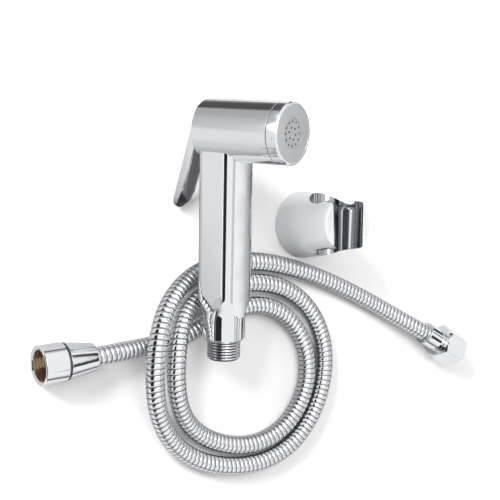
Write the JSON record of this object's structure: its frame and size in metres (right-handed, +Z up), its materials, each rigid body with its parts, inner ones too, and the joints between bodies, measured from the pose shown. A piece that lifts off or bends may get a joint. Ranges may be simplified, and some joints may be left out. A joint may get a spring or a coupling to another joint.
{
  "type": "handheld bath sprayer kit",
  "caption": "Trigger bath sprayer lying on a table with its ribbed flexible hose, two turning hose nuts and the wall bracket that its neck hangs in.",
  "frame": {"origin": "centre of the wall bracket's flat wall face, which lies on the table", "axes": "+Z up from the table, along the bracket away from its wall; +Y along the handset from its inlet toward its head; +X from the handset toward the bracket"},
  "size_m": [0.3449, 0.2436, 0.0941],
  "materials": {
    "polished_chrome": "polished",
    "satin_chrome": "satin",
    "pale_satin_chrome": "satin",
    "dark_steel": "satin",
    "hose_steel": "polished",
    "brass": "machined",
    "grey_plastic": "matte",
    "black_rubber": "matte"
  },
  "bodies": {
    "kit": {"handset_shell": "polished_chrome", "inlet_spigot": "polished_chrome", "inlet_strainer": "dark_steel", "nozzle_cap": "polished_chrome", "face_plate": "satin_chrome", "jet_insert": "grey_plastic", "cap_o_ring": "black_rubber", "flow_diffuser": "grey_plastic", "valve_body": "brass", "valve_spring": "dark_steel", "spring_retainer": "brass", "stem_o_rings": "black_rubber", "gland_nut": "polished_chrome", "lever_pin": "dark_steel", "hose_tube": "hose_steel", "cone_nut_sleeve": "polished_chrome", "cone_nut_washer": "black_rubber", "hex_nut_sleeve": "polished_chrome", "hex_nut_washer": "black_rubber", "bracket_body": "pale_satin_chrome", "bracket_cradle": "polished_chrome", "wall_plate": "grey_plastic", "grub_screw": "dark_steel"},
    "lever": {"trigger_lever": "polished_chrome"},
    "stem": {"valve_stem": "dark_steel", "valve_washer": "black_rubber"},
    "cone_nut": {"cone_nut": "polished_chrome"},
    "hex_nut": {"hex_nut": "polished_chrome"}
  },
  "joints": [
    {"name": "lever_press", "type": "hinge", "parent": "kit", "child": "lever", "pos_m": [-0.09714, 0.06885, 0.02929], "axis": [-0.9342, -0.1107, 0.339], "range_deg": [0, 12], "stiffness_Nm_per_rad": 0.12, "springref_deg": -14.32},
    {"name": "stem_travel", "type": "slide", "parent": "kit", "child": "stem", "axis": [0.3499, -0.1001, 0.9314], "range_m": [0, 0.0021], "deforming": ["valve_spring"]},
    {"name": "cone_nut_turn", "type": "hinge", "parent": "kit", "child": "cone_nut", "pos_m": [-0.17, -0.08, 0.0121], "axis": [-0.9965, -0.083, 0], "continuous": true},
    {"name": "hex_nut_turn", "type": "hinge", "parent": "kit", "child": "hex_nut", "pos_m": [0.11, -0.082, 0.0121], "axis": [0.8944, -0.4472, 0], "continuous": true}
  ],
  "couplings": [
    {"joint": "stem_travel", "follows": "lever_press", "m_per_rad": 0.01}
  ]
}
